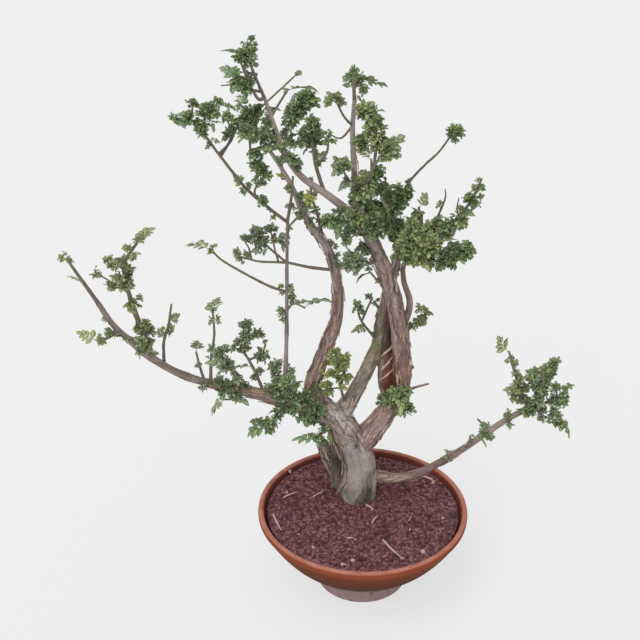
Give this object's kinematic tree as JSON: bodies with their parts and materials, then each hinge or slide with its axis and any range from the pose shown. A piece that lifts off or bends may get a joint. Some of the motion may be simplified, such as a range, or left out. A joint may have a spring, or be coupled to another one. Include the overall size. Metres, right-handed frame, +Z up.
{
  "type": "bursera fagaroides bonsai",
  "caption": "Small fragrant tree with curved grey boughs and sparse cut-edged leaves, growing in a shallow round terracotta bowl of dark granular soil.",
  "frame": {"origin": "centre of the bowl's flat foot, on the surface that it stands on", "axes": "+Z up; +X to the right and +Y away from someone who looks at the tree's front"},
  "size_m": [0.5981, 0.28, 0.7337],
  "materials": {
    "terracotta": "matte",
    "soil": "matte",
    "bark": "matte",
    "foliage": "satin"
  },
  "bodies": {
    "root": {"pot": "terracotta", "crock_1": "terracotta", "crock_2": "terracotta", "crock_3": "terracotta", "soil": "soil", "tree": "bark", "spray_back_long": "foliage", "spray_back_mass": "foliage", "spray_back_top": "foliage", "spray_back_twig": "foliage", "spray_collar": "foliage", "spray_front_arm": "foliage", "spray_front_high": "foliage", "spray_front_left": "foliage", "spray_front_low": "foliage", "spray_leader_back": "foliage", "spray_leader_front": "foliage", "spray_leader_left": "foliage", "spray_leader_top": "foliage", "spray_left_front": "foliage", "spray_left_hang": "foliage", "spray_left_rise": "foliage", "spray_left_stub": "foliage", "spray_left_tip": "foliage", "spray_left_twig_back": "foliage", "spray_left_twig_bare": "foliage", "spray_left_twig_bushy": "foliage", "spray_left_twig_front": "foliage", "spray_left_twig_low": "foliage", "spray_left_twig_tall": "foliage", "spray_left_under": "foliage", "spray_low_spray": "foliage", "spray_mid_back": "foliage", "spray_mid_cross": "foliage", "spray_mid_fork": "foliage", "spray_mid_side": "foliage", "spray_mid_top": "foliage", "spray_right_arm": "foliage", "spray_right_back": "foliage", "spray_right_bough_back": "foliage", "spray_right_bough_front": "foliage", "spray_right_end_bare": "foliage", "spray_right_end_out": "foliage", "spray_right_end_up": "foliage", "spray_right_front": "foliage", "spray_right_leaf": "foliage", "spray_right_low": "foliage", "spray_right_mid": "foliage", "spray_right_top": "foliage", "spray_spire_left": "foliage", "spray_spire_low": "foliage", "spray_spire_right": "foliage", "spray_spire_top": "foliage", "spray_wand_arm": "foliage", "spray_wand_spur": "foliage", "spray_wand_thin": "foliage", "spray_wand_top": "foliage"}
  },
  "joints": []
}
